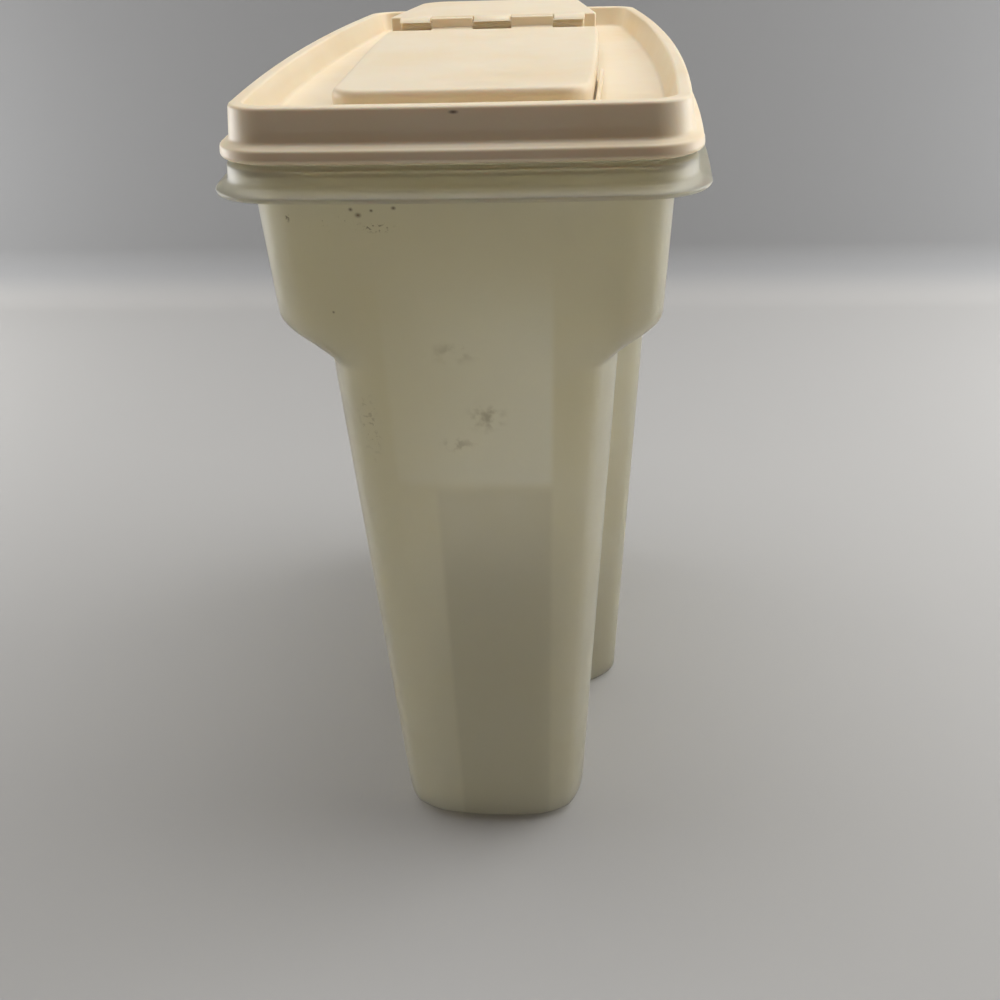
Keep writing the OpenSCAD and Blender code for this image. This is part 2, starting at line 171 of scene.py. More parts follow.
class SealSizes(bpy.types.PropertyGroup):
    """The almond seal: ring, bead, sunk panel, spout and hinge housing."""

    ring_grow: length("Ring grow", "Ring's outer face out from the body's plan", 1.75)
    ring_corner_r: length("Ring corner", "Corner radius of the ring in plan", 9)
    ring_wall: length("Ring wall", "Thickness of the ring's two walls", 1.0)
    ring_roof: length("Ring roof", "Thickness of the ring's roof", 1.6)
    rim_gap: length("Rim gap", "Gap between rim and seal, each side", 0.15)
    bead_out: length("Bead out", "Bead's edge out from the ring", 3.4)
    bead_drop: length("Bead drop", "Bead's underside below the ring's top", 10.6)
    panel_drop: length("Panel drop", "Sunk panel below the ring's top", 6)
    panel_t: length("Panel", "Thickness of the sunk panel", 1.4)
    pour_half_w: length("Pour half width", "Half width of the pour opening", 24.5)
    pour_near: length("Pour near edge", "Y of the pour opening's near edge", -75.5, -100)
    pour_far: length("Pour far edge", "Y of the pour opening's far edge", 4)
    pour_corner_r: length("Pour corner", "Corner radius of the pour opening", 6)
    spout_t: length("Spout lip", "Thickness of the spout lip", 1.4)
    spout_h: length("Spout height", "Height of the spout lip over the panel", 4.4)
    guard_gap: length("Guard gap", "Gap between cap and guard ridge", 0.6)
    guard_t: length("Guard ridge", "Thickness of the guard ridge", 1.0)
    guard_h: length("Guard height", "Height of the guard ridge over the panel", 3)
    guard_far_y: length("Guard end", "Y where the guard ridge ends by the cap", -22, -100)
    housing_half_w: length("Housing half width", "Half width at the hinge end", 32.2)
    housing_far_half_w: length("Housing far half width", "Half width at the far end", 28)
    housing_far_y: length("Housing far face", "Y of the housing's far face", 84)
    housing_far_r: length("Housing corner", "Radius of the far corners", 9)
    housing_t: length("Housing wall", "Wall thickness of the housing", 1.4)


class CapSizes(bpy.types.PropertyGroup):
    """The almond flip cap and its hinge."""

    rise: length("Cap rise", "Height of the cap's top over the ring", 0.4)
    half_w: length("Cap half width", "Half width at the hinge", 32.6)
    taper: length("Cap taper", "How much each side narrows to the near end", 5.2)
    near_y: length("Cap near face", "Y of the near face", -80.5, -100)
    near_r: length("Near corner", "Radius of the near corners", 7)
    far_r: length("Far corner", "Radius of the far corners", 2)
    plate_t: length("Plate", "Thickness of the plate", 1.5)
    skirt_t: length("Skirt", "Thickness of the skirt", 1.5)
    skirt_gap: length("Skirt gap", "Gap between skirt and sunk panel", 0.5)
    edge_r: length("Edge", "Radius of the top's edge", 1.3)
    thumb_rise: length("Thumb rise", "Rise of the top from thumb line to near face", 0.7)
    thumb_y: length("Thumb line", "Y of the thumb line", -56, -100)
    plug_gap: length("Plug gap", "Gap between plug ring and pour opening", 0.4)
    plug_t: length("Plug", "Thickness of the plug ring", 1.2)
    plug_depth: length("Plug depth", "Depth of the plug ring", 3)
    hinge_rise: length("Hinge rise", "Height of the hinge's axis over the ring's top", 0.9)
    rod_r: length("Rod", "Radius of the hinge rod", 1.4)
    hook_r: length("Hook", "Outer radius of the seal's hooks", 2.5)
    bore_gap: length("Bore gap", "Radial clearance of the rod", 0.05)
    barrel_r: length("Barrel", "Radius of the cap's barrels", 2.4)
    barrel_front: length("Barrel front", "Barrels' flat front ahead of the axis", 1.9)
    mouth_h: length("Mouth", "Height of the hooks' open mouths", 2.5)
    middle_hook: length("Middle hook", "Half width of the middle hook", 5.6)
    outer_hook: length("Outer hook start", "X where each outer hook starts", 19.2)
    outer_hook_end: length("Outer hook end", "X where each outer hook ends", 28.6)
    side_gap: length("Side gap", "Side gap between a barrel and a hook", 0.4)


class Finishes(bpy.types.PropertyGroup):
    """Colours of the mouldings and the studio, as sRGB hex values."""

    sheer: colour("Sheer", "Milky uncoloured polyethylene", "F1ECD7")
    sheer_deep: colour("Sheer depth", "Tone that light takes inside the wall", "EDE7CF")
    # painted shade: the smooth patch's tone darkens the near face low down
    sheer_painted_shade: colour("Smooth patch", "Near face's smoother flat, low down", "E0DBC6")
    # painted light: the frosted patch's tone brightens the near face higher up
    sheer_painted_light: colour("Frosted patch", "Near face's frosted flat, higher up", "FFFDF0")
    almond: colour("Almond", "Pigmented polyethylene of the seal and cap", "F1E2C6")
    almond_shade: colour("Almond shade", "Its slightly yellowed patches", "EEDBB9")
    speck: colour("Speck", "Brown specks left on the container", "5A4632")
    smudge: colour("Smudge", "Grey smudges on the near face", "9A927E")
    floor: colour("Floor", "Pale sweep under the container", "A8A7A5")
    # painted shade: the sweep's rise is the same paper as the floor, painted darker
    wall: colour("Wall", "The sweep's greyer rise behind the container", "98999A")
    floor_cloud: colour("Floor clouds", "Broad faint clouds on the sweep", "A6A5A3")
    surround: colour("Surround", "Grey walls round the studio", "8C8C8C")
    room: colour("Room", "Dim warm room in front, which only lights the container", "3A2209")


SIZES = {
    "container_sizes": ContainerSizes,
    "seal_sizes": SealSizes,
    "cap_sizes": CapSizes,
    "container_finishes": Finishes,
}


def sizes(name):
    """One of the scene's groups of sizes."""
    return getattr(bpy.context.scene, name)


# ---- Curves ------------------------------------------------------------------


def mix(a, b, t):
    return a + (b - a) * t


def clamp01(t):
    return max(0.0, min(1.0, t))


def ease(t):
    t = clamp01(t)
    return t * t * (3 - 2 * t)


def steps(a, b, count):
    """count values from a, stopping one step short of b."""
    return [mix(a, b, i / count) for i in range(count)]


def arc(cx, cy, rx, ry, start, end, count):
    """Points round an elliptical corner, without its two end points. Angles are degrees."""
    angles = [math.radians(mix(start, end, i / count)) for i in range(1, count)]
    return [(cx + rx * math.cos(a), cy + ry * math.sin(a)) for a in angles]


def around(r, start, end, count):
    """count + 1 points on a circle about the origin. Angles are degrees."""
    angles = [math.radians(mix(start, end, i / count)) for i in range(count + 1)]
    return [(r * math.cos(a), r * math.sin(a)) for a in angles]


def faceted_arc(cx, cy, rx, ry, start, end, count, facet):
    """An arc that flattens by facet towards two straight facets that meet at its middle."""
    middle = mix(start, end, 0.5)
    stops = [math.radians(a) for a in (start, middle, end)]
    knots = [(cx + rx * math.cos(a), cy + ry * math.sin(a)) for a in stops]
    points = []
    for i, (x, y) in enumerate(arc(cx, cy, rx, ry, start, end, count), 1):
        low = 0 if i < count / 2 else 1
        share = 2 * i / count - low
        flat = [mix(a, b, share) for a, b in zip(knots[low], knots[low + 1])]
        points.append((mix(x, flat[0], facet), mix(y, flat[1], facet)))
    return points


def both_halves(right):
    """A whole plan from its right half: point i and point -1 - i mirror each other."""
    return right + [(-x, y) for x, y in reversed(right)]


def side_x(half_w, bow, near, far, y):
    """Half width of a bowed side at y."""
    return half_w + bow * (1 - min(1.0, y / (near if y < 0 else far)) ** 2)


def end_half(half_w, half_l, rx, bow, sign):
    """Right half of a bowed end, from the centre line outward."""
    shares = [(i + 0.5) / (END_STEPS - 0.5) for i in range(END_STEPS)]
    return [((half_w - rx) * s, sign * (half_l + bow * (1 - s * s))) for s in shares]


def plan(half_w, half_l, bow, near_r, far_r, facet=0.0):
    """Counter-clockwise rounded rectangle with bowed sides and ends."""
    c = sizes("container_sizes")
    near, far = near_r[1] - half_l, half_l - far_r[1]
    ys = steps(near, c.waist_near_y, FRONT_STEPS)
    ys += steps(c.waist_near_y, c.waist_far_y, WAIST_STEPS)
    ys += steps(c.waist_far_y, far, REAR_STEPS) + [far]
    right = end_half(half_w, half_l, near_r[0], c.end_bow, -1)
    right += faceted_arc(half_w - near_r[0], near, *near_r, -90, 0, CORNER_STEPS, facet)
    right += [(side_x(half_w, bow, near, far, y), y) for y in ys]
    right += faceted_arc(half_w - far_r[0], far, *far_r, 0, 90, CORNER_STEPS, facet)
    right += reversed(end_half(half_w, half_l, far_r[0], c.end_bow, 1))
    return both_halves(right)


def ring_plan(off):
    """Plan of the seal's ring grown by off."""
    c, s = sizes("container_sizes"), sizes("seal_sizes")
    grow = s.ring_grow + off
    r = s.ring_corner_r + off
    return plan(c.half_w + grow, c.half_l + grow, c.side_bow, (r, r), (r, r))


def ring_top():
    """Height of the ring's top, a little under the hinge's axis."""
    return HINGE[2] - sizes("cap_sizes").hinge_rise


def body_plan(z, inset, grip):
    """Plan of the container's body at height z; grip is how far the pouring end is drawn in."""
    c = sizes("container_sizes")
    t = clamp01(z / (ring_top() - c.lip_drop))
    half_w = c.half_w - c.draft_w * (1 - t) - inset
    half_l = c.half_l - c.draft_l * (1 - t) - inset
    bow = c.side_bow * mix(0.75, 1, t)
    near_r = (
        mix(c.upper_corner_x, c.lower_corner_x, grip) - inset,
        mix(c.upper_corner_y, c.lower_corner_y, grip) - inset,
    )
    far_r = (c.upper_corner_x - inset, c.upper_corner_y - inset)
    grip_t = clamp01(z / (ring_top() - c.ledge_drop))
    grip_w = mix(c.grip_base_half_w, c.grip_half_w, grip_t) - inset
    points = []
    for x, y in plan(half_w, half_l, bow, near_r, far_r, c.corner_facet):
        front = 1 - ease((y - c.waist_near_y) / (c.waist_far_y - c.waist_near_y))
        full = side_x(half_w, bow, near_r[1] - half_l, half_l - far_r[1], y)
        points.append((x * (1 - grip * front * (1 - grip_w / full)), y))
    return points


def cap_side(y):
    """Half width of the flip cap at y."""
    k = sizes("cap_sizes")
    return k.half_w - k.taper * ((HINGE[1] - y) / (HINGE[1] - k.near_y)) ** 1.5


def cap_plan(inset, far_y):
    """Plan of the flip cap, inset evenly."""
    k = sizes("cap_sizes")
    near, far = k.near_y + inset, far_y - inset
    nr, fr = max(LEAST_R, k.near_r - inset), max(LEAST_R, k.far_r - inset)
    nx = cap_side(k.near_y + k.near_r) - inset
    fx = cap_side(far_y - k.far_r) - inset
    right = [((nx - nr) * (i + 0.5) / END_STEPS, near) for i in range(END_STEPS)] + [(nx - nr, near)]
    right += arc(nx - nr, near + nr, nr, nr, -90, 0, CORNER_STEPS)
    right += [(cap_side(y) - inset, y) for y in steps(near + nr, far - fr, REAR_STEPS) + [far - fr]]
    right += arc(fx - fr, far - fr, fr, fr, 0, 90, CORNER_STEPS)
    right += [(fx - fr, far)]
    return both_halves(right)


def pour_plan(grow):
    """Plan of the pour opening grown by grow."""
    s = sizes("seal_sizes")
    half_w, r = s.pour_half_w + grow, s.pour_corner_r + grow
    near, far = s.pour_near - grow, s.pour_far + grow
    right = [(half_w - r, near)]
    right += arc(half_w - r, near + r, r, r, -90, 0, CORNER_STEPS)
    right += [(half_w, near + r), (half_w, far - r)]
    right += arc(half_w - r, far - r, r, r, 0, 90, CORNER_STEPS)
    right += [(half_w - r, far)]
    return both_halves(right)


def housing_plan(near_y, inset):
    """Plan of the hinge housing."""
    s = sizes("seal_sizes")
    r = s.housing_far_r - inset
    fx, fy = s.housing_far_half_w - inset - r, s.housing_far_y - inset - r
    nx = s.housing_half_w - inset
    right = [(nx - LEAST_R, near_y)]
    right += arc(nx - LEAST_R, near_y + LEAST_R, LEAST_R, LEAST_R, -90, 0, 4)
    right += [(nx, near_y + LEAST_R), (fx + r, fy)]
    right += arc(fx, fy, r, r, 0, 90, CORNER_STEPS)
    right += [(fx, fy + r)]
    return both_halves(right)


def rounded(points, radii, count=5):
    """A profile with each inner corner turned into an arc. points are (off, z) pairs."""
    out = [points[0]]
    for before, here, after, r in zip(points, points[1:], points[2:], radii):
        a, b, c = Vector(before), Vector(here), Vector(after)
        if r <= 0:
            out.append(here)
            continue
        u, v = (a - b).normalized(), (c - b).normalized()
        half = u.angle(v) / 2
        reach = min(r / math.tan(half), (a - b).length * 0.49, (c - b).length * 0.49)
        radius = reach * math.tan(half)
        centre = b + (u + v).normalized() * (radius / math.sin(half))
        start = (b + u * reach) - centre
        turn = start.angle_signed((b + v * reach) - centre)
        for i in range(count + 1):
            angle = -turn * i / count
            cos_a, sin_a = math.cos(angle), math.sin(angle)
            off = centre.x + start.x * cos_a - start.y * sin_a
            z = centre.y + start.x * sin_a + start.y * cos_a
            out.append((off, z))
    return out + [points[-1]]


# ---- Mesh building ---------------------------------------------------------------


def lift(outline, z):
    return [(x, y, z) for x, y in outline]


def add_loop(mesh, points):
    return [mesh.verts.new(p) for p in points]


def skin(mesh, loops):
    """Quads between closed loops with equal numbers of points, in order. Returns vertex loops."""
    rows = [add_loop(mesh, loop) for loop in loops]
    for low, high in zip(rows, rows[1:]):
        for i in range(len(low)):
            mesh.faces.new((low[i - 1], low[i], high[i], high[i - 1]))
    return rows


def ladder(mesh, row, upward):
    """Fills a mirrored plan with rungs between mirrored points."""
    count = len(row)
    for i in range(count // 2 - 1):
        rung = [row[i], row[i + 1], row[count - 2 - i], row[count - 1 - i]]
        mesh.faces.new(rung if upward else rung[::-1])


def fill(mesh, rings, outward):
    """Fills the flat region inside the first vertex loop and outside the others."""
    flat = [v for ring in rings for v in ring]
    for triangle in tessellate_polygon([[v.co for v in ring] for ring in rings]):
        a, b, c = [flat[i] for i in triangle]
        turn = (b.co - a.co).cross(c.co - a.co)
        mesh.faces.new((a, b, c) if turn.dot(outward) > 0 else (c, b, a))


def extrude_x(mesh, profile, x0, x1, bevel, bevel_x=None):
    """A closed bar along X from a counter-clockwise (y, z) profile seen from +X. Its ends are
    eased by bevel, over bevel_x along the bar."""
    inner = shrink(profile, bevel)
    ease_x = bevel if bevel_x is None else bevel_x
    stations = [(x0, inner), (x0 + ease_x, profile), (x1 - ease_x, profile), (x1, inner)]
    rows = skin(mesh, [[(x, y, z) for y, z in shape] for x, shape in stations])
    fill(mesh, [rows[0]], Vector((-1, 0, 0)))
    fill(mesh, [rows[-1]], Vector((1, 0, 0)))


def shrink(profile, by):
    """Moves each corner of a closed profile inward by about by."""
    out = []
    count = len(profile)
    for i, (y, z) in enumerate(profile):
        before, after = profile[i - 1], profile[(i + 1) % count]
        along = Vector((after[0] - before[0], after[1] - before[1])).normalized()
        out.append((y - along.y * by, z + along.x * by))
    return out


def close_mesh(mesh):
    """Turns a bmesh into mesh data with its seams welded and its normals outward."""
    bmesh.ops.remove_doubles(mesh, verts=mesh.verts, dist=1e-7)
    bmesh.ops.recalc_face_normals(mesh, faces=mesh.faces)
    return to_data(mesh)


def to_data(mesh):
    """Turns a bmesh into mesh data and frees it."""
    data = bpy.data.meshes.new("shape")
    mesh.to_mesh(data)
    mesh.free()
    return data


def piece(name, data, body, node=None):
    """Shows mesh data as a named object that rides a body, in that body's finish."""
    data.name = name
    data.materials.clear()
    data.materials.append(body_material(body))
    data.shade_smooth()
    data.set_sharp_from_angle(angle=math.radians(SHARP_TURN))
    shape = bpy.data.objects.new(name, data)
    bpy.context.scene.collection.objects.link(shape)
    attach(shape, body)
    if node:
        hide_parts(node)


# ---- Node trees ----------------------------------------------------------------------


def linear(hex_value):
    """An sRGB hex value as linear RGBA."""
    srgb = [int(hex_value[i : i + 2], 16) / 255 for i in (0, 2, 4)]
    return [c / 12.92 if c <= 0.04045 else ((c + 0.055) / 1.055) ** 2.4 for c in srgb] + [1.0]


def add(tree, kind, inputs=None, **settings):
    """Adds one node with its settings. inputs maps a socket's name or number to a value, or to
    a socket or a node (its first output) to link."""
    node = tree.nodes.new(kind)
    for key, value in settings.items():
        setattr(node, key, value)
    for key, value in (inputs or {}).items():
        source = value.outputs[0] if isinstance(value, bpy.types.Node) else value
        if isinstance(source, bpy.types.NodeSocket):
            tree.links.new(source, node.inputs[key])
        else:
            node.inputs[key].default_value = source
    return node


def start_tree(name, numbers):
    """A geometry tree with a mesh in and out, a material and named number inputs."""
    tree = bpy.data.node_groups.new(name, "GeometryNodeTree")
    face = tree.interface
    face.new_socket("Geometry", in_out="OUTPUT", socket_type="NodeSocketGeometry")
    face.new_socket("Geometry", in_out="INPUT", socket_type="NodeSocketGeometry")
    face.new_socket("Material", in_out="INPUT", socket_type="NodeSocketMaterial")
    for label, value in numbers.items():
        kind = "NodeSocketInt" if isinstance(value, int) else "NodeSocketFloat"
        face.new_socket(label, in_out="INPUT", socket_type=kind)
    return tree, add(tree, "NodeGroupInput").outputs


def finish_tree(tree, given, shape):
    """Ends a geometry tree with real meshes that carry the material."""
    real = add(tree, "GeometryNodeRealizeInstances", {"Geometry": shape})
    dressed = add(tree, "GeometryNodeSetMaterial", {"Geometry": real, "Material": given["Material"]})
    add(tree, "NodeGroupOutput", {"Geometry": dressed})


def run_tree(tree, source, body, numbers):
    """Plain mesh data from a geometry tree run once on source mesh data."""
    holder = bpy.data.objects.new(tree.name, source)
    bpy.context.scene.collection.objects.link(holder)
    modifier = holder.modifiers.new(tree.name, "NODES")
    modifier.node_group = tree
    values = {"Material": body_material(body), **numbers}
    for item in tree.interface.items_tree:
        if item.in_out == "INPUT" and item.name in values:
            modifier[item.identifier] = values[item.name]
    shape = holder.evaluated_get(bpy.context.evaluated_depsgraph_get())
    plain = bpy.data.meshes.new_from_object(shape)
    holder.modifiers.remove(modifier)
    bpy.data.objects.remove(holder)
    mesh = bmesh.new()
    mesh.from_mesh(plain)
    return close_mesh(mesh)


def repeated_bars(profile, body, numbers):
    """Bars of one section in a row along X, evenly spaced about the middle."""
    tree, given = start_tree("bars_in_a_row", numbers)
    last = add(tree, "ShaderNodeMath", {0: given["Count"], 1: 1.0}, operation="SUBTRACT")
    middle = add(tree, "ShaderNodeMath", {0: last, 1: 2.0}, operation="DIVIDE")
    reach = add(tree, "ShaderNodeMath", {0: middle, 1: given["Spacing"]}, operation="MULTIPLY")
    first = add(tree, "ShaderNodeMath", {0: reach, 1: -1.0}, operation="MULTIPLY")
    start = add(tree, "ShaderNodeCombineXYZ", {"X": first})
    step = add(tree, "ShaderNodeCombineXYZ", {"X": given["Spacing"]})
    row = add(
        tree,
        "GeometryNodeMeshLine",
        {"Count": given["Count"], "Start Location": start, "Offset": step},
    )
    index = add(tree, "GeometryNodeInputIndex")
    is_middle = add(tree, "ShaderNodeMath", {0: index, 1: middle, 2: 0.1}, operation="COMPARE")
    width = add(
        tree,
        "ShaderNodeMix",
        {0: is_middle, 2: given["Width"], 3: given["Middle Width"]},
        data_type="FLOAT",
    )
    size = add(tree, "ShaderNodeCombineXYZ", {"X": width, "Y": 1.0, "Z": 1.0})
    bars = add(
        tree,
        "GeometryNodeInstanceOnPoints",
        {"Points": row, "Instance": given["Geometry"], "Scale": size},
    )
    finish_tree(tree, given, bars)

    # one bar a metre wide, so that a bar's width is its scale along X
    edge = 0.15 * MM
    mesh = bmesh.new()
    extrude_x(mesh, profile, -0.5, 0.5, edge, edge / numbers["Width"])
    return run_tree(tree, close_mesh(mesh), body, numbers)


def ridge_on_path(path, body, numbers):
    """A ridge of rounded rectangular section that follows an open path."""
    tree, given = start_tree("ridge_on_path", numbers)
    line = add(tree, "GeometryNodeMeshToCurve", {"Mesh": given["Geometry"]})
    upright = add(tree, "GeometryNodeSetCurveNormal", {"Curve": line}, mode="Z_UP")
    section = add(
        tree,
        "GeometryNodeCurvePrimitiveQuadrilateral",
        {"Width": given["Width"], "Height": given["Height"]},
    )
    soft = add(
        tree,
        "GeometryNodeFilletCurve",
        {"Curve": section, "Count": 4, "Radius": given["Edge Radius"]},
        mode="POLY",
    )
    ridge = add(
        tree,
        "GeometryNodeCurveToMesh",
        {"Curve": upright, "Profile Curve": soft, "Fill Caps": True},
    )
    finish_tree(tree, given, ridge)
    mesh = bmesh.new()
    row = add_loop(mesh, path)
    for here, there in zip(row, row[1:]):
        mesh.edges.new((here, there))
    return run_tree(tree, to_data(mesh), body, numbers)


# ---- Materials -----------------------------------------------------------------------


def start_material(name):
    """An empty material and its Object coordinates in metres."""
    material = bpy.data.materials.new(name)
    material.use_nodes = True
    tree = material.node_tree
    tree.nodes.clear()
    return material, tree, add(tree, "ShaderNodeTexCoord").outputs["Object"]


def patches(tree, coords, grain, detail, low, high, least=0.0, most=1.0, edges="SMOOTHSTEP"):
    """A share that wanders between least and most in patches of grain mm. low and high are
    the cut-offs of the noise that makes them."""
    noise = add(
        tree,
        "ShaderNodeTexNoise",
        {"Vector": coords, "Scale": 1 / (grain * MM), "Detail": detail},
    )
    limits = {"From Min": low, "From Max": high, "To Min": least, "To Max": most}
    return add(tree, "ShaderNodeMapRange", {"Value": noise, **limits}, interpolation_type=edges)


def moulded_skin(tree, coords, wave, grain, detail, share, strength, depth):
    """Bump of a moulded skin: soft waves and, at a share of their height, a fine grain. The
    waves, the grain and the depth are in mm."""
    waves, fine = [
        add(tree, "ShaderNodeTexNoise", {"Vector": coords, "Scale": 1 / (size * MM), "Detail": fuzz})
        for size, fuzz in ((wave, 1.0), (grain, detail))
    ]
    height = add(tree, "ShaderNodeMath", {0: fine, 1: share, 2: waves}, operation="MULTIPLY_ADD")
    return add(tree, "ShaderNodeBump", {"Height": height, "Strength": strength, "Distance": depth * MM})


def add_marks(tree, coords, tone, marks):
    """Tints tone with small patches of grain.

    A mark is its colour, its centre (z counted from the ring's top) and its reach, both in
    mm, the size of its grains in mm, the two cut-offs of their noise and its strength.
    """
    for hex_value, centre, reach, grain, low, high, strength in marks:
        place = [v * MM for v in centre]
        place[2] += ring_top()
        offset = add(tree, "ShaderNodeVectorMath", {0: coords, 1: place}, operation="SUBTRACT")
        scaled = add(
            tree,
            "ShaderNodeVectorMath",
            {0: offset, 1: [v * MM for v in reach]},
            operation="DIVIDE",
        )
        far = add(tree, "ShaderNodeVectorMath", {0: scaled}, operation="LENGTH")
        zone = add(
            tree,
            "ShaderNodeMapRange",
            {"Value": far.outputs["Value"], "To Min": strength, "To Max": 0.0},
            interpolation_type="SMOOTHSTEP",
        )
        grains = patches(tree, coords, grain, detail=3.0, low=low, high=high)
        share = add(tree, "ShaderNodeMath", {0: zone, 1: grains}, operation="MULTIPLY")
        tone = add(
            tree, "ShaderNodeMix", {0: share, 6: tone, 7: linear(hex_value)}, data_type="RGBA"
        ).outputs[2]
    return tone


def near_patch(tree, coords, middle, half, low, high, fade):
    """Share of an upright patch on the near face: the X of its middle, its half width, its two
    heights and the fade of its upper edge, in mm."""
    axes = add(tree, "ShaderNodeSeparateXYZ", {0: coords}).outputs
    aside = add(tree, "ShaderNodeMath", {0: axes["X"], 1: -middle * MM}, operation="ADD")
    across = add(tree, "ShaderNodeMath", {0: aside}, operation="ABSOLUTE")
    share = add(tree, "ShaderNodeMath", {0: axes["Y"], 1: NEAR_FACE_Y}, operation="LESS_THAN")
    # what each limit is on, its place, its softness, and the share before and after it
    for source, edge, soft, before, after in (
        (across, half, 1, 1.0, 0.0),
        (axes["Z"], high, fade, 1.0, 0.0),
        (axes["Z"], low, 2, 0.0, 1.0),
    ):
        limits = {"From Min": (edge - soft) * MM, "From Max": (edge + soft) * MM}
        side = add(
            tree,
            "ShaderNodeMapRange",
            {"Value": source, **limits, "To Min": before, "To Max": after},
            interpolation_type="SMOOTHSTEP",
        )
        share = add(tree, "ShaderNodeMath", {0: share, 1: side}, operation="MULTIPLY")
    return share


def sheer_polyethylene():
    """Uncoloured low-density polyethylene, injection moulded: milky, it lets light through but
    blurs what is behind it, with a soft sheen. The flat of the near face carries painted light
    higher up as a paler pool, and painted shade lower down as a deeper patch that stands in for
    the inside seen darker through the wall; the lower patch is also a little glossier."""
    f = sizes("container_finishes")
    material, tree, coords = start_material("sheer_polyethylene_moulded")
    clouds = patches(tree, coords, grain=40, detail=3.0, low=0.35, high=0.7)
    tone = add(
        tree,
        "ShaderNodeMix",
        {0: clouds, 6: linear(f.sheer), 7: linear(f.sheer_deep)},
        data_type="RGBA",
    ).outputs[2]

    # painted shade on the near face's flat low down, where it is also smoother, and painted light higher
    # up
    smooth_and_painted_shade = near_patch(tree, coords, middle=5, half=15, low=-10, high=144, fade=2.5)
    painted_light_patch = near_patch(tree, coords, middle=0, half=20, low=146, high=196, fade=14)
    # the painted light is strongest towards the right-hand edge of the flat
    light_toward_right = add(
        tree,
        "ShaderNodeMapRange",
        {
            "Value": add(tree, "ShaderNodeSeparateXYZ", {0: coords}).outputs["X"],
            "From Min": -20 * MM,
            "From Max": 18 * MM,
            "To Min": 0.25,
        },
    )
    painted_light = add(tree, "ShaderNodeMath", {0: painted_light_patch, 1: light_toward_right}, operation="MULTIPLY")
    # mix in the painted shade low down and the painted light higher up
    for share, hex_value in ((smooth_and_painted_shade, f.sheer_painted_shade), (painted_light, f.sheer_painted_light)):
        tone = add(
            tree, "ShaderNodeMix", {0: share, 6: tone, 7: linear(hex_value)}, data_type="RGBA"
        ).outputs[2]

    # dirt: brown specks at the upper left, and grey rubbed smudges on the patch of painted light
    tone = add_marks(
        tree,
        coords,
        tone,
        (
            (f.speck, (-21.9, -89, -22.0), (1.1, 20, 0.8), 1.5, 0.2, 0.3, 1.0),
            (f.speck, (-23.4, -89, -20.8), (0.7, 20, 0.6), 1.5, 0.2, 0.3, 1.0),
            (f.speck, (-18.9, -89, -21.0), (0.6, 20, 0.5), 1.5, 0.2, 0.3, 1.0),
            (f.speck, (-14.0, -89, -20.4), (0.8, 20, 0.6), 1.5, 0.2, 0.3, 1.0),
            (f.speck, (-38.0, -86, -23.0), (0.7, 20, 1.5), 0.9, 0.45, 0.5, 1.0),
            (f.speck, (-30.6, -89, -44.6), (0.5, 20, 0.5), 1.5, 0.2, 0.3, 0.9),
            (f.speck, (-18.5, -89, -24.6), (6, 20, 1.6), 0.7, 0.56, 0.62, 0.9),
            (f.speck, (-28.0, -89, -22.0), (9, 20, 5.0), 0.8, 0.68, 0.72, 0.8),
            (f.smudge, (4.1, -88, -71.5), (6.5, 20, 6.0), 2.6, 0.42, 0.66, 0.75),
            (f.smudge, (-3.5, -88, -79.5), (6.0, 20, 3.0), 2.0, 0.46, 0.64, 0.6),
            (f.smudge, (-3.0, -88, -54.0), (9.0, 20, 4.0), 3.5, 0.48, 0.70, 0.5),
            (f.smudge, (-26.0, -88, -76.0), (4.0, 20, 14.0), 1.2, 0.56, 0.64, 0.6),
        ),
    )

    # the skin is hazy, and rubbed glossier in places
    bump = moulded_skin(
        tree, coords, wave=14, grain=0.6, detail=2.0, share=0.12, strength=0.25, depth=0.3
    )
    worn = {"detail": 4.0, "low": 0.3, "high": 0.75, "edges": "LINEAR"}
    rough = patches(tree, coords, grain=9, least=0.36, most=0.48, **worn)
    # the patch of painted shade is also made a little glossier
    gloss = add(tree, "ShaderNodeMath", {0: smooth_and_painted_shade, 1: -0.06, 2: rough}, operation="MULTIPLY_ADD")
    shader = add(
        tree,
        "ShaderNodeBsdfPrincipled",
        {
            "Base Color": tone,
            "Roughness": gloss,
            "IOR": 1.51,
            "Normal": bump,
            "Transmission Weight": 0.82,
            "Subsurface Weight": 1.0,
            "Subsurface Radius": (1.0, 0.97, 0.85),
            "Subsurface Scale": 6 * MM,
        },
    )
    add(tree, "ShaderNodeOutputMaterial", {"Surface": shader})
    return material


def almond_polyethylene():
    """Pigmented almond polyethylene, injection moulded: opaque but soft at its edges, with a
    satin skin, a fine spark-eroded stipple and slight yellowing in patches."""
    f = sizes("container_finishes")
    material, tree, coords = start_material("almond_polyethylene_moulded")
    yellowed = patches(tree, coords, grain=35, detail=3.0, low=0.4, high=0.75)
    tone = add(
        tree,
        "ShaderNodeMix",
        {0: yellowed, 6: linear(f.almond), 7: linear(f.almond_shade)},
        data_type="RGBA",
    ).outputs[2]
    tone = add_marks(
        tree, coords, tone, ((f.speck, (0.1, -92, -1.2), (1.4, 4, 0.5), 1.5, 0.2, 0.3, 0.9),)
    )
    # the real stipple is about 0.25 mm; 0.6 mm is the finest that shows at this distance
    bump = moulded_skin(
        tree, coords, wave=12, grain=0.6, detail=1.0, share=0.22, strength=0.3, depth=0.2
    )
    worn = {"detail": 4.0, "low": 0.3, "high": 0.75, "edges": "LINEAR"}
    rough = patches(tree, coords, grain=7, least=0.36, most=0.5, **worn)
    shader = add(
        tree,
        "ShaderNodeBsdfPrincipled",
        {
            "Base Color": tone,
            "Roughness": rough,
            "IOR": 1.51,
            "Normal": bump,
            "Subsurface Weight": 0.3,
            "Subsurface Radius": (1.0, 0.65, 0.35),
            "Subsurface Scale": 1.5 * MM,
        },
    )
    add(tree, "ShaderNodeOutputMaterial", {"Surface": shader})
    return material


